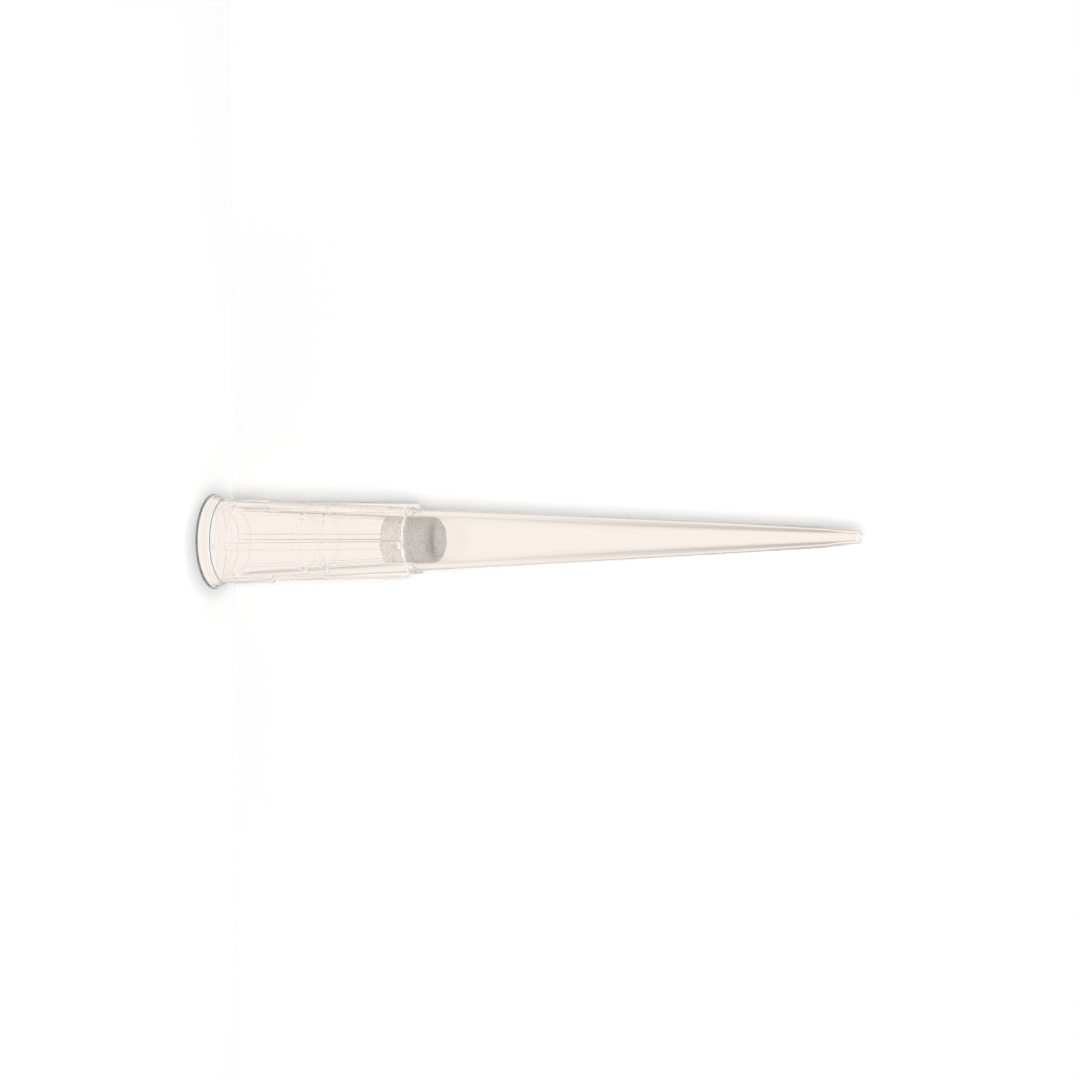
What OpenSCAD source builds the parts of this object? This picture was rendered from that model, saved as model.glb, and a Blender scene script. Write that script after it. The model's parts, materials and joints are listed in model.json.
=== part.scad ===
// Filter pipette tip for air-displacement pipettes: a clear polypropylene moulding with a porous plug in its bore.
// It stands on its rim with the open mouth down. Z runs up the axis to the dispensing end. Sizes are millimetres.

/* [Overall] */
// Length from the face of the rim to the dispensing end
tip_l = 60; // [54:0.5:75]
// Height of the collar's shoulder above the face of the rim
collar_l = 18.65; // [18:0.05:23]

/* [Rim and mouth] */
// Outer diameter of the rim
rim_d = 8.2; // [7.9:0.05:10]
// Inner diameter of the mouth at the face of the rim
mouth_d = 7.3; // [6.2:0.05:7.5]
// Height of the outer flare, where it meets the collar's wall
flare_h = 1.05; // [0.8:0.05:2]
// Radius of the rounded outer edge of the rim
rim_round = 0.06; // [0.05:0.01:0.3]
// Depth at which the mouth's lead-in ends and the socket starts
lead_in_h = 2.4; // [2:0.05:4]

/* [Socket and bore] */
// Diameter of the nozzle socket at the end of the lead-in
socket_d = 5.37; // [4.8:0.01:5.9]
// Depth at which the socket's taper meets the plug's seat
socket_h = 16.2; // [15:0.1:16.3]
// Bore halfway up the long cone
mid_bore_d = 2.42; // [1.6:0.01:2.9]
// Bore where the outside turns in to the dispensing end
nose_bore_d = 0.9; // [0.6:0.01:1.1]
// Orifice at the dispensing end
orifice_d = 0.5; // [0.3:0.01:0.6]

/* [Seal rings] */
// Depth of the first seal ring inside the socket
seal_z = 8.7; // [7:0.1:10]
// Distance from one seal ring to the next
seal_pitch = 2; // [1.2:0.05:2.4]
// Number of seal rings
seal_count = 2; // [1:1:3]
// Width of a seal ring's crest along the axis
seal_w = 0.3; // [0.2:0.01:0.5]
// Height of a seal ring above the socket's taper
seal_h = 0.065; // [0.03:0.005:0.1]

/* [Walls] */
// Collar wall at the end of the lead-in
collar_wall_low = 0.87; // [0.6:0.01:1.1]
// Collar wall at the shoulder
collar_wall_high = 0.82; // [0.75:0.01:1]
// Cone wall just above the shoulder
cone_wall = 0.66; // [0.45:0.01:0.7]
// Cone wall halfway up
mid_wall = 0.6; // [0.4:0.01:0.7]
// Cone wall where the outside turns in to the dispensing end
nose_wall = 0.455; // [0.3:0.005:0.55]
// Wall round the orifice
orifice_wall = 0.28; // [0.2:0.01:0.35]
// Length of the blunter nose below the dispensing end
nose_l = 3.2; // [2:0.1:5]

/* [Ribs] */
// Number of long ribs round the collar
rib_count = 6; // [4:1:8]
// Width of a rib
rib_w = 0.66; // [0.4:0.01:0.9]
// Height of a long rib above the wall at the shoulder
rib_h = 0.62; // [0.3:0.01:0.8]
// Height above the wall of the long ribs' outline where it leaves the flare
rib_start_h = 0.02; // [0:0.01:0.1]
// Number of short lugs beside the rim, midway between long ribs
lug_count = 2; // [0:2:2]
// Height at which the lugs end
lug_l = 5.4; // [4:0.1:7.5]
// Height of a lug above the wall at its end
lug_h = 0.18; // [0.1:0.01:0.25]

/* [Filter plug] */
// Diameter of the porous plug
plug_d = 4; // [3.6:0.01:4.4]
// Length of the porous plug
plug_l = 4.75; // [3:0.05:5]
// Height of the plug's upper end above the face of the rim
plug_top = 21.1; // [20.5:0.05:22]
// Radial clearance between the plug and its seat at the plug's upper end
plug_clearance = 0.002; // [0.001:0.001:0.01]
// Widening of the seat's radius from the plug's upper end down to the socket
seat_draft = 0.015; // [0.005:0.005:0.05]
// Rounding of the plug's edges
plug_round = 0.3; // [0.1:0.05:0.5]

/* [Hidden] */
$fn = 96;

// Radii of the bore and of the outside at each height where the taper changes
seat_r = plug_d / 2 + plug_clearance;
socket_r = socket_d / 2;
socket_end_r = seat_r + seat_draft;
nose_z = tip_l - nose_l;
mid_z = (collar_l + nose_z) / 2;
collar_low_r = socket_r + collar_wall_low;
collar_high_r = seat_r + collar_wall_high;
cone_low_r = seat_r + cone_wall;
mid_r = mid_bore_d / 2 + mid_wall;
nose_r = nose_bore_d / 2 + nose_wall;
end_r = orifice_d / 2 + orifice_wall;
end_round = orifice_wall / 4;

// Radius of the collar's straight outer taper, and of the socket's taper, at a height z
function between(z, z0, r0, z1, r1) = r0 + (r1 - r0) * (z - z0) / (z1 - z0);
function collar_r(z) = between(z, lead_in_h, collar_low_r, collar_l, collar_high_r);
function socket_taper_r(z) = between(z, lead_in_h, socket_r, socket_h, socket_end_r);

// Points along an arc about a centre, from one angle to another
function arc(centre, radius, from, to, steps) =
    [for (i = [0 : steps])
        let (a = from + (to - from) * i / steps)
            centre + radius * [cos(a), sin(a)]];

// The outline of the outside from the face of the rim to the dispensing end, as a solid of revolution
module outer_form() {
    rim_centre = [rim_d / 2 - rim_round, rim_round];
    nose_centre = [end_r - end_round, tip_l - end_round];
    rotate_extrude()
        polygon(concat(
            [[0, 0]],
            arc(rim_centre, rim_round, -90, 22.5, 15),
            [
                [collar_r(flare_h), flare_h],
                [collar_high_r, collar_l],
                [cone_low_r, collar_l],
                [mid_r, mid_z],
                [nose_r, nose_z]
            ],
            arc(nose_centre, end_round, 0, 90, 6),
            [[0, tip_l]]
        ));
}

// One seal ring's land: a cylinder that the socket is not cut past
module seal_land(z) {
    land_r = socket_taper_r(z + seal_w / 2) - seal_h;
    slope_h = seal_h * 1.5;
    rotate_extrude()
        polygon([
            [land_r, z],
            [land_r, z + seal_w],
            [land_r + 2 * seal_h, z + seal_w + 2 * slope_h],
            [land_r + 2 * seal_h, z - 2 * slope_h]
        ]);
}

// The lead-in, the tapered socket, the plug's seat and the fluid bore, as the solid that is cut away
module bore_form() {
    past = 1;
    mouth_slope = (mouth_d / 2 - socket_r) / lead_in_h;
    orifice_slope = (nose_bore_d - orifice_d) / 2 / nose_l;
    difference() {
        rotate_extrude()
            polygon([
                [0, -past],
                [mouth_d / 2 + past * mouth_slope, -past],
                [socket_r, lead_in_h],
                [socket_end_r, socket_h],
                [seat_r, plug_top],
                [mid_bore_d / 2, mid_z],
                [nose_bore_d / 2, nose_z],
                [orifice_d / 2 - past * orifice_slope, tip_l + past],
                [0, tip_l + past]
            ]);
        for (i = [0 : seal_count - 1])
            seal_land(seal_z + i * seal_pitch);
    }
}

// Slabs through the axis that the ribs are cut from
module spokes(count, first_angle, low, high) {
    reach = rim_d;
    for (i = [0 : count - 1])
        rotate([0, 0, first_angle + i * 360 / count])
            translate([0, -rib_w / 2, low])
                cube([reach, rib_w, high - low]);
}

// Long ribs: flush with the wall at the flare and proud of it at the shoulder
module long_ribs() {
    low = flare_h * 0.6;
    intersection() {
        rotate_extrude()
            polygon([
                [0, low],
                [collar_r(low) + rib_start_h, low],
                [collar_high_r + rib_h, collar_l],
                [0, collar_l]
            ]);
        spokes(rib_count, -90, low, collar_l);
    }
}

// Short lugs beside the rim, between the long ribs at the two sides
module lugs() {
    low = flare_h * 0.6;
    lug_r = collar_r(lug_l) + lug_h;
    intersection() {
        translate([0, 0, low])
            cylinder(r = lug_r, h = lug_l - low);
        spokes(lug_count, 0, low, lug_l);
    }
}

// The moulded body: cone, collar, rim, ribs and bore in one piece
module tip_body() {
    color([0.96, 0.94, 0.91, 0.5])
        difference() {
            union() {
                outer_form();
                long_ribs();
                if (lug_count > 0)
                    lugs();
            }
            bore_form();
        }
}

// The sintered plug, pressed up into its seat
module filter_plug() {
    r = plug_d / 2;
    color([0.72, 0.70, 0.67])
        translate([0, 0, plug_top - plug_l])
            rotate_extrude()
                polygon(concat(
                    [[0, 0]],
                    arc([r - plug_round, plug_round], plug_round, -90, 0, 6),
                    arc([r - plug_round, plug_l - plug_round], plug_round, 0, 90, 6),
                    [[0, plug_l]]
                ));
}

tip_body();
filter_plug();
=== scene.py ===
"""A filter pipette tip: the clear moulded body, the porous plug in its bore, and a white stage.

Everything is in metres, in the frame of the construction model, with +Z up the tip's axis.
"""

import json
import math

import bpy
from mathutils import Matrix, Vector


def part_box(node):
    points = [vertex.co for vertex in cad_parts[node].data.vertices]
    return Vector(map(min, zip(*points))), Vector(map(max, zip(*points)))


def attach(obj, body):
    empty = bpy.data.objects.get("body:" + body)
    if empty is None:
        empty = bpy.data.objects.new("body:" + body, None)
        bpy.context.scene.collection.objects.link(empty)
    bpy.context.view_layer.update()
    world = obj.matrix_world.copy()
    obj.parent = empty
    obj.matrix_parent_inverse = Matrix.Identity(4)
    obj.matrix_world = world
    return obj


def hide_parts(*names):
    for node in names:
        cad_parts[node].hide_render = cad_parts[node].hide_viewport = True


bl_info = {
    "name": "Filter pipette tip",
    "version": (1, 0, 0),
    "blender": (4, 5, 0),
    "location": "3D View > Sidebar > Pipette tip",
    "description": "Builds a clear filter pipette tip around its construction model",
    "category": "Object",
}

MM = 0.001
BODY = "root"

# What clear plastic and gloss see around the tip, as sRGB hex
FLOOR_TINT = "FAF4EE"
COLLAR_SIDE_TINT = "BDB8B4"
LOW_CONE_SIDE_TINT = "DED7D1"
HIGH_CONE_SIDE_TINT = "C8C1BB"
HIGH_CONE_NEAR_TINT = "BFB9B5"
FAR_SIDE_TINT = "CDB9A6"
WALL_TINT = "DDD0C4"
CEILING_TINT = "8C989E"

# Painted light and shade in the plastic's edges, from -1, a painted dark line, to 1, milky: part
# frosted finish, part painted highlight
EDGE_LIGHT = 0.8
DARK_BESIDE_LIGHT = 0.8
DARK_AFTER_LIGHT = 1.6
# Shares of the flare's length, and the painted light and shade there
RIM_BAND = (
    (0.02, -1.0),
    (0.1, -0.7),
    (0.15, 0.4),
    (0.2, 0.0),
    (0.48, 0.0),
    (0.54, -0.25),
    (0.6, 0.0),
    (0.72, 0.0),
    (0.77, -0.2),
    (0.82, 0.0),
)

# What each point of the moulding's outline holds, and each point of its section
OUTLINE_VALUES = ("radius", "height", "rib", "lug", "ribbed", "line")
SECTION_VALUES = ("site", "nominal", "lateral", "drop", "is_rib", "is_lug", "edge")
# How a point of the skin gets its place and its line, as (result, operation, values taken)
SWEEP_STEPS = (
    ("rib_rise", "MULTIPLY", "rib", "is_rib"),
    ("lug_rise", "MULTIPLY", "lug", "is_lug"),
    ("rise", "ADD", "rib_rise", "lug_rise"),
    ("over_wall", "SUBTRACT", "rise", "drop"),
    ("raised", "MAXIMUM", "over_wall", 0.0),
    ("reach", "ADD", "radius", "raised"),
    ("beside", "ABSOLUTE", "lateral"),
    ("off_middle", "GREATER_THAN", "beside", 0.0),
    ("on_rib", "MULTIPLY", "ribbed", "off_middle"),
    ("share", "DIVIDE", "lateral", "reach"),
    ("exact", "ARCSINE", "share"),
    ("more", "SUBTRACT", "exact", "nominal"),
    ("rib_offset", "MULTIPLY", "on_rib", "more"),
    ("offset", "ADD", "nominal", "rib_offset"),
    ("angle", "ADD", "site", "offset"),
    ("cosine", "COSINE", "angle"),
    ("sine", "SINE", "angle"),
    ("x", "MULTIPLY", "reach", "cosine"),
    ("y", "MULTIPLY", "reach", "sine"),
    ("proud", "GREATER_THAN", "raised", 0.0),
    ("edge_line", "MULTIPLY", "edge", "proud"),
    ("whole_line", "ADD", "line", "edge_line"),
)

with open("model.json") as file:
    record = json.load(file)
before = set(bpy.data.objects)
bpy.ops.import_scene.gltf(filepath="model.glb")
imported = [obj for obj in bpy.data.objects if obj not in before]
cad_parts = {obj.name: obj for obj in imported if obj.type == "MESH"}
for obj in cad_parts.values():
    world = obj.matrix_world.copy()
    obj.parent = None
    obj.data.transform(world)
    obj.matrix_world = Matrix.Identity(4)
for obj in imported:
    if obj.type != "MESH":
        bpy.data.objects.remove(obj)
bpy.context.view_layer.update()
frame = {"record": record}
TIP_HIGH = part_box("tip_body")[1]
PLUG_LOW, PLUG_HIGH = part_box("filter_plug")
SEALS = [m for m in frame["record"]["mounts"] if m["kind"] == "bore"]


# ---------------------------------------------------------------- sizes and colours


def length(name, description, millimetres):
    """A size that a user may change, given here in millimetres and held in metres."""
    return bpy.props.FloatProperty(
        name=name,
        description=description,
        default=millimetres * MM,
        min=0.0,
        precision=5,
        unit="LENGTH",
        subtype="DISTANCE",
    )


def angle(name, description, degrees):
    """An angle that a user may change, given here in degrees and held in radians."""
    return bpy.props.FloatProperty(
        name=name, description=description, default=math.radians(degrees), subtype="ANGLE"
    )


def hex_colour(name, description, code):
    """A colour that a user may change, as sRGB hex."""
    return bpy.props.StringProperty(
        name=name, description=f"{description}, as sRGB hex", default=code
    )


class MouldingSettings(bpy.types.PropertyGroup):
    """Sizes of the moulded body that the frame's boxes and mounts don't give."""

    rim_round: length("Rim rounding", "Radius of the rounded outer edge of the rim", 0.06)
    mouth_radius: length("Mouth radius", "Radius of the mouth at the face of the rim", 3.65)
    flare_height: length("Flare height", "Height at which the flare meets the wall", 1.05)
    lead_in: length("Lead-in depth", "Depth at which the socket starts", 2.4)
    socket_radius: length("Socket radius", "Radius of the socket where it starts", 2.685)
    socket_end: length("Socket end", "Depth at which the socket meets the seat", 16.2)
    seat_low_radius: length("Seat radius, low", "Radius at the socket's end", 2.017)
    seat_radius: length("Seat radius", "Radius of the plug's seat at its top", 2.002)
    shoulder: length("Shoulder height", "Height of the collar's shoulder", 18.65)
    collar_low_radius: length("Collar radius, low", "Collar at the lead-in", 3.555)
    collar_high_radius: length("Collar radius, high", "Collar at the shoulder", 2.822)
    cone_radius: length("Cone radius", "Cone just above the shoulder", 2.662)
    mid_height: length("Middle height", "Height at which the long cone's taper changes", 37.725)
    mid_radius: length("Middle radius", "Outside of the cone at the middle height", 1.81)
    mid_bore_radius: length("Middle bore", "Bore at the middle height", 1.21)
    nose_height: length("Nose height", "Height at which the blunter nose starts", 56.8)
    nose_radius: length("Nose radius", "Outside where the nose starts", 0.905)
    nose_bore_radius: length("Nose bore", "Bore where the nose starts", 0.45)
    end_radius: length("End radius", "Outside at the dispensing end", 0.53)
    orifice_radius: length("Orifice radius", "Bore at the dispensing end", 0.25)
    end_round: length("End rounding", "Rounding of the dispensing end", 0.07)
    edge_round: length("Edge rounding", "Rounding of the shoulder's edge", 0.06)
    mouth_round: length("Mouth rounding", "Rounding of the mouth's inner edge", 0.12)
    flare_fillet: length("Flare fillet", "Fillet between the flare and the wall", 0.5)
    lead_in_round: length("Lead-in rounding", "Rounding between lead-in and socket", 0.5)
    seal_width: length("Seal width", "Width of a seal ring's crest", 0.3)
    seal_slope: length("Seal slope", "Length of a seal ring's slope on each side", 0.2)
    seal_round: length("Seal rounding", "Rounding of a seal ring's edges", 0.3)
    rib_width: length("Rib width", "Width of a rib", 0.66)
    rib_height: length("Rib height", "Height of a long rib at the shoulder", 0.62)
    rib_start: length("Rib start", "Height of a long rib at the flare", 0.035)
    rib_round: length("Rib rounding", "Rounding of a rib's long edges", 0.1)
    lug_length: length("Lug length", "Height at which the short lugs end", 5.4)
    lug_height: length("Lug height", "Height of a lug above the wall at its end", 0.18)
    rib_count: bpy.props.IntProperty(
        name="Long ribs", description="Number of long ribs", default=6, min=3, max=12
    )
    tint: hex_colour("Tint", "Colour of the plastic", "FEFDFC")
    # Painted shade along the outline, where the wall is seen edge-on
    painted_edge_shade_tint: hex_colour("Tint, edge-on", "Colour where the wall is seen edge-on", "A8A29A")
    # Painted shade: the colour of the painted dark lines in the rim and the edges
    painted_dark_line_tint: hex_colour("Dark lines", "Colour of the dark lines in the rim", "0A4A62")


class PlugSettings(bpy.types.PropertyGroup):
    """Sizes and colours of the porous plug."""

    low_round: length("Lower rounding", "Rounding of the plug's lower edge", 0.2)
    high_round: length("Upper rounding", "Rounding of the plug's upper edge", 0.45)
    dish: length("Dish", "Depth of the hollow pressed into the plug's upper end", 0.25)
    step: length("Step", "Distance between the points of the plug's skin", 0.05)
    grain: length("Grain size", "Size of the fused grains", 0.17)
    relief: length("Grain relief", "Depth of the hollows between grains", 0.13)
    colour: hex_colour("Colour", "Colour of the fused grains", "FFFDFB")
    # Painted shade: the grey in the hollows between the grains
    hollow: hex_colour("Hollow", "Colour between the grains", "CEC7C1")
    # Painted shade: the grey of the plug's upper end
    upper_end_shade: hex_colour("Dense end", "Colour of the end that was pushed home", "959392")
    # Painted shade: the soft dark spot on the upper end's rim
    mark: hex_colour("Print", "Colour of the soft dark print on that end", "4A4A48")


class StageSettings(bpy.types.PropertyGroup):
    """The camera's place and its field of view."""

    azimuth: angle("Azimuth", "Direction of the camera round the tip", -7.6)
    elevation: angle("Elevation", "Height of the camera above the horizon", 22.8)
    roll: angle("Roll", "Turn of the camera about its own line of sight", -89.6)
    frame_width: length("Frame width", "Width of what the camera sees at the tip", 92.46)
    target_height: length("Target height", "Height that the camera looks at", 30.36)
    target_aside: length("Target offset", "How far right of the axis the camera looks", 0.07)


# ---------------------------------------------------------------- small helpers


def srgb(code):
    """Linear RGBA from an sRGB hex code."""
    channels = [int(code[i : i + 2], 16) / 255 for i in (0, 2, 4)]
    linear = [c / 12.92 if c <= 0.04045 else ((c + 0.055) / 1.055) ** 2.4 for c in channels]
    return (*linear, 1.0)


def add(tree, kind, inputs=None, **settings):
    """Adds a node, sets its options, and sets or links its inputs."""
    node = tree.nodes.new(kind)
    for name, value in settings.items():
        setattr(node, name, value)
    for key, value in (inputs or {}).items():
        if isinstance(value, bpy.types.NodeSocket):
            tree.links.new(value, node.inputs[key])
        else:
            node.inputs[key].default_value = value
    return node


def new_material(name):
    """An empty node material and its tree."""
    material = bpy.data.materials.new(name)
    material.use_nodes = True
    material.node_tree.nodes.clear()
    return material, material.node_tree


def between(z, z0, r0, z1, r1):
    """A value on the straight line through (z0, r0) and (z1, r1)."""
    return r0 + (r1 - r0) * (z - z0) / (z1 - z0)


def arc(centre, radius, start, end, steps):
    """Points on an arc about a centre, from one angle in degrees to another."""
    angles = [math.radians(start + (end - start) * i / steps) for i in range(steps + 1)]
    return [
        (centre[0] + radius * math.cos(a), centre[1] + radius * math.sin(a)) for a in angles
    ]


def loose_points(name, labels, rows):
    """An object of loose points, one for each row, with one float attribute for each label."""
    mesh = bpy.data.meshes.new(name)
    mesh.from_pydata([(0.0, 0.0, 0.0)] * len(rows), [], [])
    for label, values in zip(labels, zip(*rows)):
        layer = mesh.attributes.new(label, "FLOAT", "POINT")
        layer.data.foreach_set("value", values)
    thing = bpy.data.objects.new(name, mesh)
    bpy.context.scene.collection.objects.link(thing)
    return thing


def new_tree(name, **kinds):
    """An empty Geometry Nodes tree with these inputs beside its geometry, and its input sockets."""
    tree = bpy.data.node_groups.new(name, "GeometryNodeTree")
    for label, kind in {"Geometry": "Geometry", **kinds}.items():
        tree.interface.new_socket(label, in_out="INPUT", socket_type="NodeSocket" + kind)
    tree.interface.new_socket("Geometry", in_out="OUTPUT", socket_type="NodeSocketGeometry")
    return tree, add(tree, "NodeGroupInput").outputs


def end_tree(tree, geometry, material):
    """Ends a Geometry Nodes tree with one real mesh that has its material."""
    real = add(tree, "GeometryNodeRealizeInstances", {"Geometry": geometry})
    done = add(
        tree, "GeometryNodeSetMaterial", {"Geometry": real.outputs[0], "Material": material}
    )
    add(tree, "NodeGroupOutput", {"Geometry": done.outputs[0]})


def finish_piece(thing, name, node):
    """Turns an object with modifiers into a plain mesh that stands for a construction node."""
    evaluated = thing.evaluated_get(bpy.context.evaluated_depsgraph_get())
    mesh = bpy.data.meshes.new_from_object(evaluated)
    mesh.name = name
    thing.modifiers.clear()
    for index in reversed(range(len(mesh.materials))):
        if mesh.materials[index] is None:
            mesh.materials.pop(index=index)
    thing.data = mesh
    thing.name = name
    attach(thing, BODY)
    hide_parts(node)
    return thing


def set_inputs(modifier, values):
    """Sets a Geometry Nodes modifier's inputs by the names that its tree gives them."""
    for item in modifier.node_group.interface.items_tree:
        if item.item_type == "SOCKET" and item.in_out == "INPUT" and item.name in values:
            modifier[item.identifier] = values[item.name]


# ---------------------------------------------------------------- the moulding's form


def section_columns(ribs, width, rounding):
    """The points once round the tip, as (site, nominal, lateral, drop, long rib, lug, edge).

    There are two sites for each long rib: the rib's own and the one midway to the next.
    Each site has a rib's outline with rounded corners, then even steps to the next site.
    """
    # The columns are spaced out at this radius, and drop this far where there is no rib
    nominal_radius, no_rib = 3.2 * MM, 1.0
    corner_steps, plain_steps, gap_steps = 5, 8, 12
    sites = 2 * ribs
    pitch = 2 * math.pi / sites
    half = width / 2
    guard = 0.2 * rounding
    bend_start, bend_end = 0.1 * rounding, 0.9 * rounding
    corner = arc((half - rounding, -rounding), rounding, 90, 0, corner_steps)
    right = [(half - rounding - guard, 0.0)] + [(x, -y) for x, y in corner]
    right += [(half, rounding + guard), (half, no_rib)]
    left = [(-x, drop) for x, drop in reversed(right)]
    side = math.asin(half / nominal_radius)
    plain = [side * (2 * i / plain_steps - 1) for i in range(plain_steps + 1)]
    gap = [side + (pitch - 2 * side) * i / gap_steps for i in range(1, gap_steps)]
    rows = []
    for site in range(sites):
        middle = -math.pi / 2 + site * pitch
        is_rib = 1.0 - site % 2
        # The lugs stand midway between long ribs, at 0 and 180 degrees
        turn = math.degrees(middle) % 180
        is_lug = float(site % 2 == 1 and min(turn, 180 - turn) < 1)
        if is_rib or is_lug:
            offsets = gap
            for lateral, drop in left + [(0.0, 0.0)] + right:
                nominal = math.asin(lateral / nominal_radius)
                # Rib corners get a light line: part frosted finish, part painted highlight
                edge = EDGE_LIGHT if bend_start < drop < bend_end else 0.0
                rows.append((middle, nominal, lateral, drop, is_rib, is_lug, edge))
        else:
            offsets = plain + gap
        rows += [(middle, offset, 0.0, no_rib, 0.0, 0.0, 0.0) for offset in offsets]
    return rows


def no_line(share):
    """Across an edge that draws no line."""
    return 0.0


def light_edge(share):
    """Across a matt edge, light all over: part frosted finish, part painted highlight."""
    return EDGE_LIGHT


def light_line(share):
    """Across a rounded edge: a painted light line with a painted dark one on each side."""
    light, dark = math.sin(math.pi * share) ** 2, math.sin(2 * math.pi * share) ** 2
    return light - DARK_BESIDE_LIGHT * dark


def light_then_dark(share):
    """Across a hollow edge: a painted light line beside a painted dark one."""
    return math.sin(2 * math.pi * share) * (1.0 if share < 0.5 else DARK_AFTER_LIGHT)


def fillet(before, corner, after, radius, line=no_line, steps=5):
    """A rounded corner as (radius, height, line), with one more point on each straight side.

    The outer two keep the smooth shading of the corner out of the straight sides.
    """
    guard_share, longest_guard = 0.25, 0.03 * MM
    before, corner, after = Vector(before), Vector(corner), Vector(after)
    back, on = (before - corner).normalized(), (after - corner).normalized()
    half = back.angle(on) / 2
    reach = radius / math.tan(half)
    centre = corner + (back + on).normalized() * radius / math.sin(half)
    start = (corner + back * reach - centre).normalized()
    end = (corner + on * reach - centre).normalized()
    guard = min(guard_share * reach, longest_guard)
    shares = [i / steps for i in range(steps + 1)]
    curve = [(*(centre + start.slerp(end, i) * radius), line(i)) for i in shares]
    first, last = corner + back * (reach + guard), corner + on * (reach + guard)
    return [(*first, 0.0), *curve, (*last, 0.0)]


def outline(*corners, pitch=1.5 * MM):
    """Points along straight sides, a pitch apart, from the second corner to the last but one.

    Each corner is (radius, height), with the rounding, line and steps of a fillet if it has one.
    """
    points = []
    for before, corner, after in zip(corners, corners[1:], corners[2:]):
        if len(corner) > 2:
            turn = fillet(before[:2], corner[:2], after[:2], *corner[2:])
        else:
            turn = [(*corner, 0.0)]
        if points:
            start, end = Vector(points[-1][:2]), Vector(turn[0][:2])
            count = math.ceil((end - start).length / pitch)
            points += [(*start.lerp(end, i / count), 0.0) for i in range(1, count)]
        points += turn
    return points


def moulding_rows(s):
    """The closed outline of the moulding, each point with what OUTLINE_VALUES names."""
    flare_run, lug_step, nearly = 0.3 * MM, 0.03 * MM, 0.01 * MM
    cone_bend, nose_bend, seat_bend = 40 * MM, 4 * MM, 1 * MM
    low_socket, mid_socket, high_socket = 5 * MM, 13 * MM, 14 * MM
    top = TIP_HIGH.z

    def wall(z):
        return between(z, s.lead_in, s.collar_low_radius, s.shoulder, s.collar_high_radius)

    def socket(z):
        return between(z, s.lead_in, s.socket_radius, s.socket_end, s.seat_low_radius)

    def plain(points):
        return [(r, z, 0.0, 0.0, 0.0, line) for r, z, line in points]

    def collar(z):
        rib = between(z, s.flare_height, s.rib_start, s.shoulder, s.rib_height)
        lug = max(wall(s.lug_length) + s.lug_height - wall(z), 0.0)
        return (wall(z), z, rib, lug if z < s.lug_length + nearly else 0.0, 1.0, 0.0)

    def heights(low, high, count):
        return [low + (high - low) * i / count for i in range(count + 1)]

    rim_centre = (TIP_HIGH.x - s.rim_round, s.rim_round)
    flare_corner = (wall(s.flare_height), s.flare_height)
    flare = Vector(flare_corner) - Vector(rim_centre)
    flare_angle = math.degrees(
        math.atan2(flare.y, flare.x) - math.acos(s.rim_round / flare.length)
    )
    rim = arc(rim_centre, s.rim_round, -90, flare_angle, steps=7)
    foot = s.flare_height + flare_run
    lead_in = (s.socket_radius, s.lead_in)
    mouth = (s.mouth_radius, 0.0)
    rows = plain(outline(lead_in, (*mouth, s.mouth_round), rim[0], rim[1]))
    # The rim's rounded edge gets a painted dark line
    rows += plain([(*point, -1.0) for point in rim[1:]])
    rows += plain([(*Vector(rim[-1]).lerp(flare_corner, share), line) for share, line in RIM_BAND])
    on_wall = (wall(foot), foot)
    rows += plain(
        fillet(rim[-1], flare_corner, on_wall, s.flare_fillet, light_then_dark, steps=10)
    )
    edge = s.shoulder - s.edge_round
    past_lug = s.lug_length + lug_step
    rows += [collar(z) for z in heights(foot, s.lug_length, count=6)]
    rows += [collar(z) for z in heights(past_lug, edge, count=11)]
    corner = (wall(s.shoulder) - s.edge_round, edge)
    rows += [
        (r, z, s.rib_height, 0.0, 1.0, 1.0)
        for r, z in arc(corner, s.edge_round, 0, 90, steps=4)[1:]
    ]
    before_cone = s.cone_radius + 1.5 * s.edge_round
    rows += plain([(before_cone, s.shoulder, 1.0)])
    rows += plain(
        outline(
            corner,
            (s.cone_radius, s.shoulder, s.edge_round, light_edge),
            (s.mid_radius, s.mid_height, cone_bend),
            (s.nose_radius, s.nose_height, nose_bend),
            (s.end_radius, top, s.end_round, light_edge),
            (s.orifice_radius, top, s.end_round / 2, light_edge),
            (s.nose_bore_radius, s.nose_height, nose_bend),
            (s.mid_bore_radius, s.mid_height, cone_bend),
            (s.seat_radius, PLUG_HIGH.z),
            (s.seat_low_radius, s.socket_end, seat_bend),
            (socket(high_socket), high_socket),
            (socket(mid_socket), mid_socket),
        )
    )
    for seal in sorted(SEALS, key=lambda m: -m["pos_m"][2]):
        middle, crest = seal["pos_m"][2], seal["dims"]["r_mm"] * MM
        half = s.seal_width / 2
        far = half + s.seal_slope
        rows += plain(
            outline(
                (socket(middle + 2 * far), middle + 2 * far),
                (socket(middle + far), middle + far, s.seal_round),
                (crest, middle + half, s.seal_round, light_line, 8),
                (crest, middle - half, s.seal_round, light_line, 8),
                (socket(middle - far), middle - far, s.seal_round),
                (socket(middle - 2 * far), middle - 2 * far),
            )
        )
    on_socket = (socket(low_socket), low_socket)
    rows += plain(fillet(on_socket, lead_in, mouth, s.lead_in_round, light_line, steps=12))
    return rows


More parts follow.
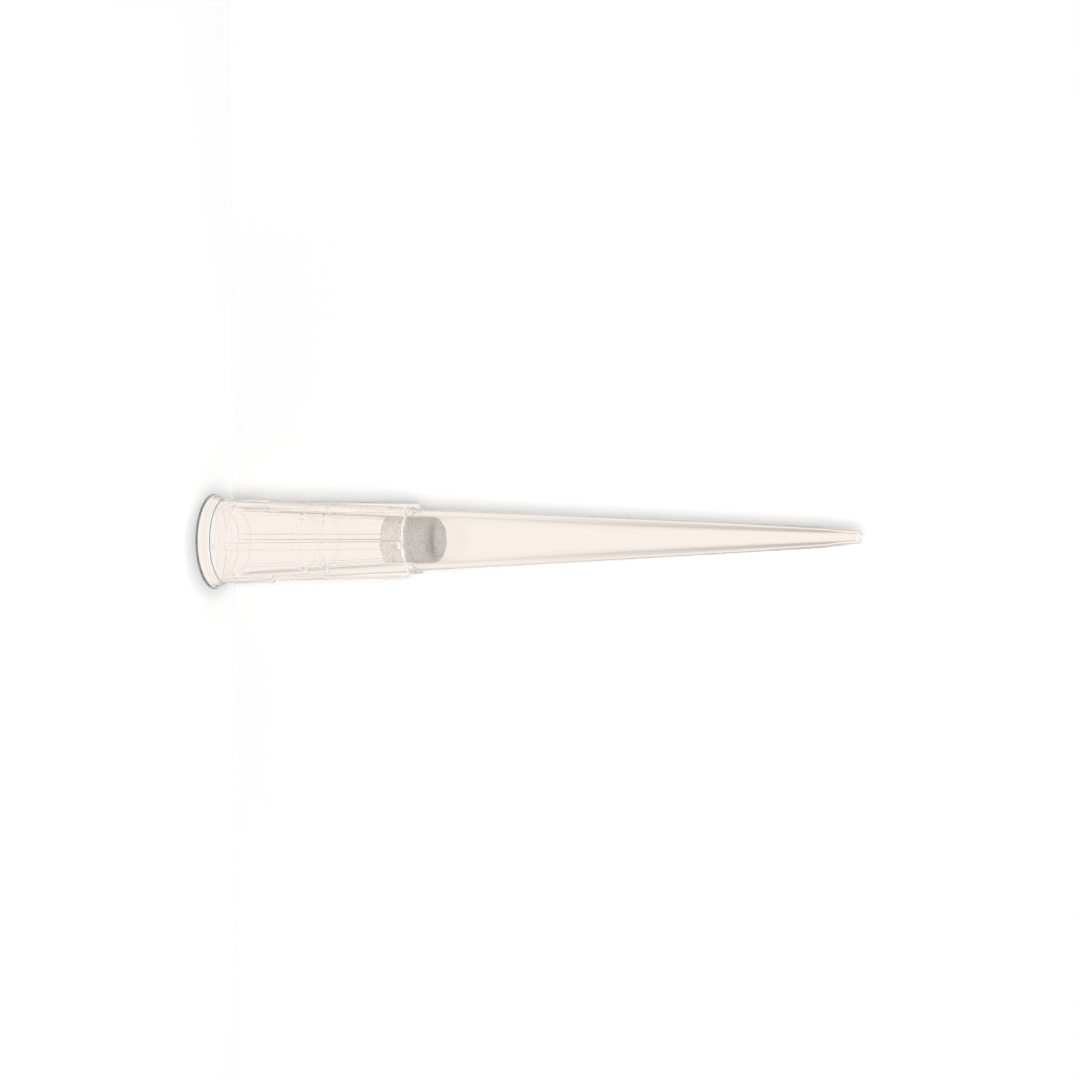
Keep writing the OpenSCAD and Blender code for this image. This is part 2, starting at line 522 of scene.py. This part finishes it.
def sweep_tree():
    """Geometry Nodes: sweeps an outline's rows round a section's columns into one closed skin."""
    tree, given = new_tree("Ribbed sweep", Section="Object", Crease="Float", Material="Material")
    section = add(tree, "GeometryNodeObjectInfo", {"Object": given["Section"]})
    outline_points, section_points = given["Geometry"], section.outputs["Geometry"]
    row_count, column_count = (
        add(tree, "GeometryNodeAttributeDomainSize", {"Geometry": points}).outputs["Point Count"]
        for points in (outline_points, section_points)
    )
    # The grid's last row and column lie on its first ones, and are merged with them below
    rows = add(tree, "ShaderNodeMath", {0: row_count, 1: 1}, operation="ADD").outputs[0]
    columns = add(tree, "ShaderNodeMath", {0: column_count, 1: 1}, operation="ADD").outputs[0]
    grid = add(tree, "GeometryNodeMeshGrid", {"Vertices X": columns, "Vertices Y": rows})
    index = add(tree, "GeometryNodeInputIndex").outputs[0]
    passed = add(tree, "ShaderNodeMath", {0: index, 1: rows}, operation="DIVIDE")
    whole = add(tree, "ShaderNodeMath", {0: passed.outputs[0]}, operation="FLOOR")
    along = add(tree, "ShaderNodeMath", {0: index, 1: rows}, operation="MODULO")
    row = add(
        tree, "ShaderNodeMath", {0: along.outputs[0], 1: row_count}, operation="MODULO"
    ).outputs[0]
    column = add(
        tree, "ShaderNodeMath", {0: whole.outputs[0], 1: column_count}, operation="MODULO"
    ).outputs[0]

    values = {}
    for points, where, labels in (
        (outline_points, row, OUTLINE_VALUES),
        (section_points, column, SECTION_VALUES),
    ):
        for label in labels:
            named = add(
                tree, "GeometryNodeInputNamedAttribute", {"Name": label}, data_type="FLOAT"
            ).outputs["Attribute"]
            values[label] = add(
                tree,
                "GeometryNodeSampleIndex",
                {"Geometry": points, "Value": named, "Index": where},
                data_type="FLOAT",
                domain="POINT",
            ).outputs[0]
    for result, operation, *taken in SWEEP_STEPS:
        inputs = {i: values.get(name, name) for i, name in enumerate(taken)}
        values[result] = add(tree, "ShaderNodeMath", inputs, operation=operation).outputs[0]

    place = add(
        tree,
        "ShaderNodeCombineXYZ",
        {"X": values["x"], "Y": values["y"], "Z": values["height"]},
    ).outputs[0]
    skin = add(
        tree, "GeometryNodeSetPosition", {"Geometry": grid.outputs["Mesh"], "Position": place}
    )
    marked = add(
        tree,
        "GeometryNodeStoreNamedAttribute",
        {"Geometry": skin.outputs[0], "Name": "line", "Value": values["whole_line"]},
        data_type="FLOAT",
        domain="POINT",
    )
    touching = 0.0001 * MM
    merged = add(
        tree,
        "GeometryNodeMergeByDistance",
        {"Geometry": marked.outputs[0], "Distance": touching},
    )
    smooth = add(tree, "GeometryNodeSetShadeSmooth", {0: merged.outputs[0]}, domain="FACE")
    bend = add(tree, "GeometryNodeInputMeshEdgeAngle").outputs["Unsigned Angle"]
    creased = add(
        tree, "ShaderNodeMath", {0: bend, 1: given["Crease"]}, operation="GREATER_THAN"
    ).outputs[0]
    sharp = add(
        tree,
        "GeometryNodeSetShadeSmooth",
        {0: smooth.outputs[0], "Selection": creased, "Shade Smooth": False},
        domain="EDGE",
    )
    end_tree(tree, sharp.outputs[0], given["Material"])
    return tree


# ---------------------------------------------------------------- the plug's form


def plug_profile(s):
    """The plug's outline as (radius, height), from the middle of its lower end to its upper end."""
    radius, low, high = PLUG_HIGH.x, PLUG_LOW.z, PLUG_HIGH.z
    low_inner, high_inner = radius - s.low_round, radius - s.high_round
    side_low, side_high = low + s.low_round, high - s.high_round
    ring_count = round(radius / s.step)
    side_count = round((side_high - side_low) / s.step)
    rows = [(low_inner * i / ring_count, low) for i in range(ring_count)]
    rows += arc((low_inner, side_low), s.low_round, -90, 0, steps=6)
    side = (side_high - side_low) / side_count
    rows += [(radius, side_low + side * i) for i in range(1, side_count)]
    rows += arc((high_inner, side_high), s.high_round, 0, 90, steps=10)
    shares = [i / ring_count for i in reversed(range(ring_count))]
    rows += [(high_inner * i, high - s.dish * (1 - i**2)) for i in shares]
    return rows


def turned_mesh(name, profile, count):
    """A closed skin turned round the Z axis. The profile starts and ends on the axis."""
    rings = profile[1:-1]
    angles = [2 * math.pi * i / count for i in range(count)]
    points = [(r * math.cos(a), r * math.sin(a), z) for r, z in rings for a in angles]
    low, high = len(points), len(points) + 1
    points += [(0.0, 0.0, profile[0][1]), (0.0, 0.0, profile[-1][1])]
    last = (len(rings) - 1) * count
    faces = []
    for i in range(count):
        on = (i + 1) % count
        faces += [(low, on, i), (high, last + i, last + on)]
        faces += [
            (start + i, start + on, start + count + on, start + count + i)
            for start in range(0, last, count)
        ]
    mesh = bpy.data.meshes.new(name)
    mesh.from_pydata(points, [], faces)
    return mesh


def grain_tree():
    """Geometry Nodes: presses the hollows between fused grains into a skin."""
    flat_share, deepest_share = 0.15, 0.75
    tree, given = new_tree("Fused grains", Grain="Float", Relief="Float", Material="Material")
    density = add(tree, "ShaderNodeMath", {0: 1.0, 1: given["Grain"]}, operation="DIVIDE")
    place = add(tree, "GeometryNodeInputPosition")
    cells = add(
        tree,
        "ShaderNodeTexVoronoi",
        {"Vector": place.outputs[0], "Scale": density.outputs[0]},
    )
    hollow = add(
        tree,
        "ShaderNodeMapRange",
        {
            "Value": cells.outputs["Distance"],
            "From Min": flat_share,
            "From Max": deepest_share,
        },
    )
    depth = add(
        tree,
        "ShaderNodeMath",
        {0: hollow.outputs[0], 1: given["Relief"]},
        operation="MULTIPLY",
    )
    inward = add(tree, "ShaderNodeMath", {0: depth.outputs[0], 1: -1.0}, operation="MULTIPLY")
    normal = add(tree, "GeometryNodeInputNormal")
    offset = add(
        tree,
        "ShaderNodeVectorMath",
        {0: normal.outputs[0], "Scale": inward.outputs[0]},
        operation="SCALE",
    )
    pressed = add(
        tree,
        "GeometryNodeSetPosition",
        {"Geometry": given["Geometry"], "Offset": offset.outputs[0]},
    )
    smooth = add(tree, "GeometryNodeSetShadeSmooth", {0: pressed.outputs[0]}, domain="FACE")
    end_tree(tree, smooth.outputs[0], given["Material"])
    return tree


# ---------------------------------------------------------------- materials


def clear_polypropylene(s):
    """Natural polypropylene, injection moulded in a polished mould: clear and glossy.

    Rounded edges get painted light and shade, which the mesh marks by a line attribute: where it is
    above 0 they are milkier and rougher, part frosted finish and part painted highlight, and where
    it is below they are painted dark. The outer skin is painted darker where it is seen edge-on, a
    painted shade that draws the outline.
    """
    painted_dark_share = 0.9
    edge_on_start, edge_on_end = 0.62, 0.8
    clear_and_milky = (1.0, 0.25)
    polished_and_matt = (0.02, 0.6)
    shadow = (0.7, 0.7, 0.7, 1.0)
    material, tree = new_material("clear_moulded_polypropylene")
    line = add(
        tree, "ShaderNodeAttribute", attribute_name="line", attribute_type="GEOMETRY"
    ).outputs["Fac"]
    hit = add(tree, "ShaderNodeNewGeometry").outputs
    inside = hit["Backfacing"]
    # Painted shade: the dark lines, where the line attribute is below 0, on front-facing hits only
    dark = add(
        tree, "ShaderNodeMath", {0: line, 1: -painted_dark_share}, operation="MULTIPLY", use_clamp=True
    )
    painted_dark_line = add(
        tree,
        "ShaderNodeMath",
        {0: dark.outputs[0], 1: inside},
        operation="SUBTRACT",
        use_clamp=True,
    )
    # Painted shade: the outer skin darker where it is seen edge-on, which draws the outline
    facing = add(tree, "ShaderNodeLayerWeight", {"Blend": 0.5}).outputs["Facing"]
    grazing = add(
        tree,
        "ShaderNodeMapRange",
        {"Value": facing, "From Min": edge_on_start, "From Max": edge_on_end},
    )
    # The outer skin is where the normal points away from the axis
    place = add(tree, "ShaderNodeTexCoord").outputs["Object"]
    level = add(
        tree, "ShaderNodeVectorMath", {0: place, 1: (1.0, 1.0, 0.0)}, operation="MULTIPLY"
    )
    away = add(
        tree,
        "ShaderNodeVectorMath",
        {0: level.outputs[0], 1: hit["True Normal"]},
        operation="DOT_PRODUCT",
    ).outputs["Value"]
    outward = add(tree, "ShaderNodeMath", {0: away, 1: 0.0}, operation="GREATER_THAN").outputs[0]
    entering = add(
        tree, "ShaderNodeMath", {0: outward, 1: inside}, operation="SUBTRACT", use_clamp=True
    )
    painted_edge_shade = add(
        tree,
        "ShaderNodeMath",
        {0: grazing.outputs[0], 1: entering.outputs[0]},
        operation="MULTIPLY",
    )
    colour = srgb(s.tint)
    for share, tint in ((painted_edge_shade, s.painted_edge_shade_tint), (painted_dark_line, s.painted_dark_line_tint)):
        inputs = {0: share.outputs[0], 6: colour, 7: srgb(tint)}
        colour = add(tree, "ShaderNodeMix", inputs, data_type="RGBA").outputs[2]
    # Milkier and rougher where the line is above 0: part frosted finish, part painted highlight
    clearness, roughness = (
        add(tree, "ShaderNodeMapRange", {"Value": line, "To Min": plain, "To Max": marked})
        for plain, marked in (clear_and_milky, polished_and_matt)
    )
    surface = add(
        tree,
        "ShaderNodeBsdfPrincipled",
        {
            "Base Color": colour,
            "Roughness": roughness.outputs[0],
            "IOR": 1.49,
            "Transmission Weight": clearness.outputs[0],
        },
    )
    path = add(tree, "ShaderNodeLightPath")
    passed = add(tree, "ShaderNodeBsdfTransparent", {"Color": shadow})
    mixed = add(
        tree,
        "ShaderNodeMixShader",
        {0: path.outputs["Is Shadow Ray"], 1: surface.outputs[0], 2: passed.outputs[0]},
    )
    add(tree, "ShaderNodeOutputMaterial", {"Surface": mixed.outputs[0]})
    return material


def sintered_polyethylene(s):
    """Porous polyethylene, fused from fine grains: white and matt, with painted shade that greys
    the hollows.

    The upper end is painted greyer, a painted shade, with a soft painted dark spot at its rim on
    the side towards the camera.
    """
    flat_share, deepest_share, even_share = 0.1, 0.8, 0.8
    patch = s.grain / 1.6
    # Painted shade: greyer towards the upper end, from 2.7 to 2.2 mm below its top
    upper_shade_start, upper_shade_end, upper_shade_share = 2.7 * MM, 2.2 * MM, 0.36
    # Painted shade: a soft dark spot on the upper end's rim, on the -Y side, towards the camera
    shade_spot_stretch = Vector((0.6, 1.0, 2.0))
    shade_spot_middle = Vector((0.0, PLUG_LOW.y * 0.78, PLUG_HIGH.z + 0.05 * MM))
    shade_spot_reach, shade_spot_share = 1.9 * MM, 0.5
    top = PLUG_HIGH.z
    material, tree = new_material("sintered_porous_polyethylene")
    place = add(tree, "ShaderNodeTexCoord").outputs["Object"]
    height = add(tree, "ShaderNodeSeparateXYZ", {0: place}).outputs["Z"]
    cells = add(tree, "ShaderNodeTexVoronoi", {"Vector": place, "Scale": 1 / s.grain})
    patches = add(
        tree,
        "ShaderNodeTexNoise",
        {"Vector": place, "Scale": 1 / patch, "Detail": 1.0},
    )
    # Painted shade: darker in the hollows between grains, unevenly in patches
    hollow = add(
        tree,
        "ShaderNodeMapRange",
        {
            "Value": cells.outputs["Distance"],
            "From Min": flat_share,
            "From Max": deepest_share,
        },
    )
    uneven = add(
        tree,
        "ShaderNodeMapRange",
        {"Value": patches.outputs["Fac"], "From Max": even_share},
    )
    depth = add(
        tree,
        "ShaderNodeMath",
        {0: hollow.outputs[0], 1: uneven.outputs[0]},
        operation="MULTIPLY",
    )
    upper_end_shade = add(
        tree,
        "ShaderNodeMapRange",
        {
            "Value": height,
            "From Min": top - upper_shade_start,
            "From Max": top - upper_shade_end,
            "To Max": upper_shade_share,
        },
        interpolation_type="SMOOTHSTEP",
    )
    stretched = add(
        tree,
        "ShaderNodeVectorMath",
        {0: place, 1: shade_spot_stretch},
        operation="MULTIPLY",
    )
    reach = add(
        tree,
        "ShaderNodeVectorMath",
        {0: stretched.outputs[0], 1: shade_spot_middle * shade_spot_stretch},
        operation="DISTANCE",
    )
    mark = add(
        tree,
        "ShaderNodeMapRange",
        {
            "Value": reach.outputs["Value"],
            "From Max": shade_spot_reach,
            "To Min": shade_spot_share,
            "To Max": 0.0,
        },
        interpolation_type="SMOOTHSTEP",
    )
    colour = srgb(s.colour)
    # Painted shade in the hollows, over the upper end and in a spot on its rim
    for share, tint in ((depth, s.hollow), (upper_end_shade, s.upper_end_shade), (mark, s.mark)):
        inputs = {0: share.outputs[0], 6: colour, 7: srgb(tint)}
        colour = add(tree, "ShaderNodeMix", inputs, data_type="RGBA").outputs[2]
    surface = add(
        tree,
        "ShaderNodeBsdfPrincipled",
        {"Base Color": colour, "Roughness": 0.75, "IOR": 1.5},
    )
    add(tree, "ShaderNodeOutputMaterial", {"Surface": surface.outputs[0]})
    return material


# ---------------------------------------------------------------- operators


class PIPETTE_OT_moulding(bpy.types.Operator):
    """Build the clear moulded body"""

    bl_idname = "pipette.moulding"
    bl_label = "Moulded body"

    def execute(self, context):
        s = context.scene.pipette_moulding
        crease = math.radians(24)
        columns = section_columns(s.rib_count, s.rib_width, s.rib_round)
        thing = loose_points("moulded_body", OUTLINE_VALUES, moulding_rows(s))
        section = loose_points("moulded_body_section", SECTION_VALUES, columns)
        modifier = thing.modifiers.new("Ribbed sweep", "NODES")
        modifier.node_group = sweep_tree()
        material = clear_polypropylene(s)
        set_inputs(modifier, {"Section": section, "Crease": crease, "Material": material})
        finish_piece(thing, "moulded_body", "tip_body")
        bpy.data.objects.remove(section)
        return {"FINISHED"}


class PIPETTE_OT_plug(bpy.types.Operator):
    """Build the porous plug"""

    bl_idname = "pipette.plug"
    bl_label = "Porous plug"

    def execute(self, context):
        s = context.scene.pipette_plug
        around = round(2 * math.pi * PLUG_HIGH.x / s.step)
        mesh = turned_mesh("porous_plug", plug_profile(s), around)
        thing = bpy.data.objects.new("porous_plug", mesh)
        context.scene.collection.objects.link(thing)
        modifier = thing.modifiers.new("Fused grains", "NODES")
        modifier.node_group = grain_tree()
        material = sintered_polyethylene(s)
        set_inputs(modifier, {"Grain": s.grain, "Relief": s.relief, "Material": material})
        finish_piece(thing, "porous_plug", "filter_plug")
        return {"FINISHED"}


class PIPETTE_OT_stage(bpy.types.Operator):
    """Set up the floor, the card, the lamps, the world and the camera"""

    bl_idname = "pipette.stage"
    bl_label = "Stage"

    def execute(self, context):
        s = context.scene.pipette_stage
        scene = context.scene
        scene.view_settings.view_transform = "Standard"
        back = Vector(
            (
                math.sin(s.azimuth) * math.cos(s.elevation),
                -math.cos(s.azimuth) * math.cos(s.elevation),
                math.sin(s.elevation),
            )
        )
        right = Vector((math.cos(s.azimuth), math.sin(s.azimuth), 0.0))
        up = back.cross(right)
        make_camera(s, back, right, up)
        make_floor()
        make_card(back, right)
        make_world(scene)
        key_right, key_up = 0.09, 0.04
        towards_key = back + right * key_right + up * key_up
        make_lamp("key_lamp", towards_key, size=0.26, light=1.0)
        make_lamp("top_lamp", Vector((0.0, 0.0, 1.0)), size=0.3, light=0.5)
        allow_inner_reflections(scene)
        return {"FINISHED"}


def make_camera(s, back, right, up):
    """The camera, far off with a long lens, so that the tip's sides stay nearly parallel."""
    sensor_width, lens = 36.0, 1200.0
    data = bpy.data.cameras.new("camera")
    data.sensor_width = sensor_width
    data.lens = lens
    camera = bpy.data.objects.new("camera", data)
    bpy.context.scene.collection.objects.link(camera)
    bpy.context.scene.camera = camera
    distance = s.frame_width * lens / sensor_width
    turned = Matrix.Rotation(-s.roll, 3, back)
    axes = Matrix((turned @ right, turned @ up, back)).transposed()
    target = Vector((0, 0, s.target_height)) + right * s.target_aside
    camera.matrix_world = Matrix.Translation(target + back * distance) @ axes.to_4x4()


def sheet_object(name, corners, material):
    """A flat four-sided sheet that belongs to the stage."""
    mesh = bpy.data.meshes.new(name)
    mesh.from_pydata(corners, [], [(0, 1, 2, 3)])
    mesh.materials.append(material)
    sheet = bpy.data.objects.new(name, mesh)
    bpy.context.scene.collection.objects.link(sheet)
    return sheet


def seen_through_plastic(tree, path):
    """1 on rays that a glossy or clear surface has turned, else 0."""
    inputs = {0: path["Is Glossy Ray"], 1: path["Is Transmission Ray"]}
    return add(tree, "ShaderNodeMath", inputs, operation="MAXIMUM").outputs[0]


def side_shades(tree, place, aside):
    """What clear plastic sees of the card: cream behind the tip and darker to both sides.

    The darker sides draw the lines along the bore and the ribs. They are darkest beside the
    collar, and beside the upper cone they come closer in, up to the nose.
    """
    height = add(tree, "ShaderNodeSeparateXYZ", {0: place}).outputs["Z"]
    past_collar, up_cone, below_nose = (
        add(
            tree,
            "ShaderNodeMapRange",
            {
                "Value": height,
                "From Min": low * MM,
                "From Max": high * MM,
                "To Min": start,
                "To Max": end,
            },
        ).outputs[0]
        for low, high, start, end in ((14, 17.5, 0, 1), (24, 52, 0, 1), (54.5, 55.5, 1, 0))
    )
    near, side, far_side = (
        add(
            tree,
            "ShaderNodeMapRange",
            {"Value": aside, "From Min": low * MM, "From Max": high * MM},
            interpolation_type="SMOOTHSTEP",
        ).outputs[0]
        for low, high in ((1.2, 5), (6, 12), (11, 14))
    )
    narrow = up_cone
    for share in (below_nose, near):
        narrow = add(tree, "ShaderNodeMath", {0: narrow, 1: share}, operation="MULTIPLY").outputs[0]
    cone_sides = add(
        tree,
        "ShaderNodeMix",
        {0: up_cone, 6: srgb(LOW_CONE_SIDE_TINT), 7: srgb(HIGH_CONE_SIDE_TINT)},
        data_type="RGBA",
    ).outputs[2]
    sides = add(
        tree,
        "ShaderNodeMix",
        {0: past_collar, 6: srgb(COLLAR_SIDE_TINT), 7: cone_sides},
        data_type="RGBA",
    ).outputs[2]
    colour = srgb(FLOOR_TINT)
    for share, tint in (
        (narrow, srgb(HIGH_CONE_NEAR_TINT)),
        (side, sides),
        (far_side, srgb(FAR_SIDE_TINT)),
    ):
        inputs = {0: share, 6: colour, 7: tint}
        colour = add(tree, "ShaderNodeMix", inputs, data_type="RGBA").outputs[2]
    return colour


def white_paper(name, seen, right=None):
    """Matt white paper that shows from one side only.

    The camera sees it with the tip's shadow, and with a painted shadow that makes it greyer close
    round the rim, and plain white far from the tip. Clear plastic and gloss see it cream and
    unshaded. With a direction to its right, it is darker to both sides for them, which draws the
    edges of the bore, and it turns plain white by its distance to the side.
    """
    bounced = (0.4, 0.4, 0.4, 1.0)
    # The painted shadow round the rim: its oval's stretch, its level at the rim and its reach
    rim_shadow_stretch = (1.3, 1.0, 1.0)
    rim_shadow_level, rim_shadow_reach = 0.7, 2.8 * MM
    material, tree = new_material(name)
    path = add(tree, "ShaderNodeLightPath").outputs
    place = add(tree, "ShaderNodeTexCoord").outputs["Object"]
    oval = add(tree, "ShaderNodeVectorMath", {0: place, 1: rim_shadow_stretch}, operation="MULTIPLY")
    away = add(
        tree, "ShaderNodeVectorMath", {0: oval.outputs[0]}, operation="LENGTH"
    ).outputs["Value"]
    if right:
        across = add(tree, "ShaderNodeVectorMath", {0: place, 1: right}, operation="DOT_PRODUCT")
        aside = add(
            tree, "ShaderNodeMath", {0: across.outputs["Value"]}, operation="ABSOLUTE"
        ).outputs[0]
        colour = side_shades(tree, place, aside)
        distance, fade_start, fade_end = aside, 10 * MM, 30 * MM
    else:
        colour = srgb(FLOOR_TINT)
        distance, fade_start, fade_end = away, 75 * MM, 200 * MM
    # Painted shadow: greyer close round the rim, in an oval
    painted_rim_shadow = add(
        tree,
        "ShaderNodeMapRange",
        {
            "Value": away,
            "From Min": TIP_HIGH.x,
            "From Max": TIP_HIGH.x + rim_shadow_reach,
            "To Min": rim_shadow_level * seen,
            "To Max": seen,
        },
    ).outputs[0]
    far = add(
        tree,
        "ShaderNodeMapRange",
        {"Value": distance, "From Min": fade_start, "From Max": fade_end},
    ).outputs[0]
    near_paper = add(tree, "ShaderNodeBsdfDiffuse", {"Color": painted_rim_shadow})
    far_paper = add(tree, "ShaderNodeEmission")
    bounced_paper = add(tree, "ShaderNodeBsdfDiffuse", {"Color": bounced})
    refracted_paper = add(tree, "ShaderNodeEmission", {"Color": colour})
    back = add(tree, "ShaderNodeBsdfTransparent")
    side = add(tree, "ShaderNodeNewGeometry").outputs["Backfacing"]
    shown = add(
        tree,
        "ShaderNodeMixShader",
        {0: far, 1: near_paper.outputs[0], 2: far_paper.outputs[0]},
    )
    surface = bounced_paper
    for share, layer in (
        (path["Is Camera Ray"], shown),
        (seen_through_plastic(tree, path), refracted_paper),
        (side, back),
    ):
        inputs = {0: share, 1: surface.outputs[0], 2: layer.outputs[0]}
        surface = add(tree, "ShaderNodeMixShader", inputs)
    add(tree, "ShaderNodeOutputMaterial", {"Surface": surface.outputs[0]})
    return material


def make_floor():
    """The floor, a hair below the tip's rim so that the two faces don't share a plane."""
    size, low = 1.0, -0.01 * MM
    corners = [(-size, -size, low), (size, -size, low), (size, size, low), (-size, size, low)]
    sheet_object("floor", corners, white_paper("white_floor", seen=1.05))


def make_card(back, right):
    """A white card close behind the tip. It throws no shadow, and matt surfaces don't see it."""
    gap, half_width, height = 4.3 * MM, 70 * MM, 120 * MM
    away = Vector((back.x, back.y, 0.0)).normalized() * -gap
    side, top = right * half_width, Vector((0, 0, height))
    corners = [away - side, away + side, away + side + top, away - side + top]
    card = sheet_object("card", corners, white_paper("white_card", seen=0.92, right=right))
    card.visible_shadow = False
    card.visible_diffuse = False


def make_world(scene):
    """An even white room that throws a little light.

    Clear plastic and gloss see brownish walls and a grey-blue ceiling, which draw their edges.
    """
    room_light = 0.1
    ceiling_start, ceiling_end = 0.7, 0.85
    world = bpy.data.worlds.new("world")
    scene.world = world
    world.use_nodes = True
    tree = world.node_tree
    tree.nodes.clear()
    path = add(tree, "ShaderNodeLightPath").outputs
    where = add(tree, "ShaderNodeTexCoord").outputs["Generated"]
    height = add(tree, "ShaderNodeSeparateXYZ", {0: where}).outputs["Z"]
    overhead = add(
        tree,
        "ShaderNodeMapRange",
        {"Value": height, "From Min": ceiling_start, "From Max": ceiling_end},
        interpolation_type="SMOOTHSTEP",
    ).outputs[0]
    light, white, walls, ceiling = (
        add(tree, "ShaderNodeBackground", {"Color": colour, "Strength": strength})
        for colour, strength in (
            ((1, 1, 1, 1), room_light),
            ((1, 1, 1, 1), 1.0),
            (srgb(WALL_TINT), 1.0),
            (srgb(CEILING_TINT), 1.0),
        )
    )
    room = add(
        tree,
        "ShaderNodeMixShader",
        {0: overhead, 1: walls.outputs[0], 2: ceiling.outputs[0]},
    )
    surface = light
    for share, layer in (
        (seen_through_plastic(tree, path), room),
        (path["Is Camera Ray"], white),
    ):
        inputs = {0: share, 1: surface.outputs[0], 2: layer.outputs[0]}
        surface = add(tree, "ShaderNodeMixShader", inputs)
    add(tree, "ShaderNodeOutputWorld", {"Surface": surface.outputs[0]})


def make_lamp(name, direction, size, light):
    """A round softbox that gives a facing matt white surface this much light.

    Clear plastic and gloss don't show it.
    """
    distance = 0.6
    data = bpy.data.lights.new(name, "AREA")
    data.shape = "DISK"
    data.size = size
    data.energy = math.pi**2 * distance**2 * light
    lamp = bpy.data.objects.new(name, data)
    lamp.visible_glossy = False
    lamp.visible_transmission = False
    bpy.context.scene.collection.objects.link(lamp)
    direction = direction.normalized()
    lamp.location = Vector((0, 0, TIP_HIGH.z / 2)) + direction * distance
    lamp.rotation_mode = "QUATERNION"
    lamp.rotation_quaternion = direction.to_track_quat("Z", "Y")


def allow_inner_reflections(scene):
    """Enough bounces for light that runs along inside the tip's wall.

    What still runs on after them is lost, which darkens the outline towards the nose.
    """
    bounces = 56
    scene.cycles.max_bounces = bounces
    scene.cycles.glossy_bounces = bounces
    scene.cycles.transmission_bounces = bounces


class PIPETTE_PT_panel(bpy.types.Panel):
    """Lists the tip's pieces"""

    bl_idname = "PIPETTE_PT_panel"
    bl_label = "Pipette tip"
    bl_space_type = "VIEW_3D"
    bl_region_type = "UI"
    bl_category = "Pipette tip"

    def draw(self, context):
        for operator in OPERATORS:
            self.layout.operator(operator.bl_idname)


OPERATORS = (PIPETTE_OT_stage, PIPETTE_OT_moulding, PIPETTE_OT_plug)
SETTINGS = {
    "pipette_moulding": MouldingSettings,
    "pipette_plug": PlugSettings,
    "pipette_stage": StageSettings,
}


def register():
    for thing in (*SETTINGS.values(), *OPERATORS, PIPETTE_PT_panel):
        bpy.utils.register_class(thing)
    for name, group in SETTINGS.items():
        setattr(bpy.types.Scene, name, bpy.props.PointerProperty(type=group))


def unregister():
    for name in SETTINGS:
        delattr(bpy.types.Scene, name)
    for thing in reversed((*SETTINGS.values(), *OPERATORS, PIPETTE_PT_panel)):
        bpy.utils.unregister_class(thing)


def main():
    register()
    bpy.ops.pipette.stage()
    bpy.ops.pipette.moulding()
    bpy.ops.pipette.plug()


if __name__ == "__main__":
    main()
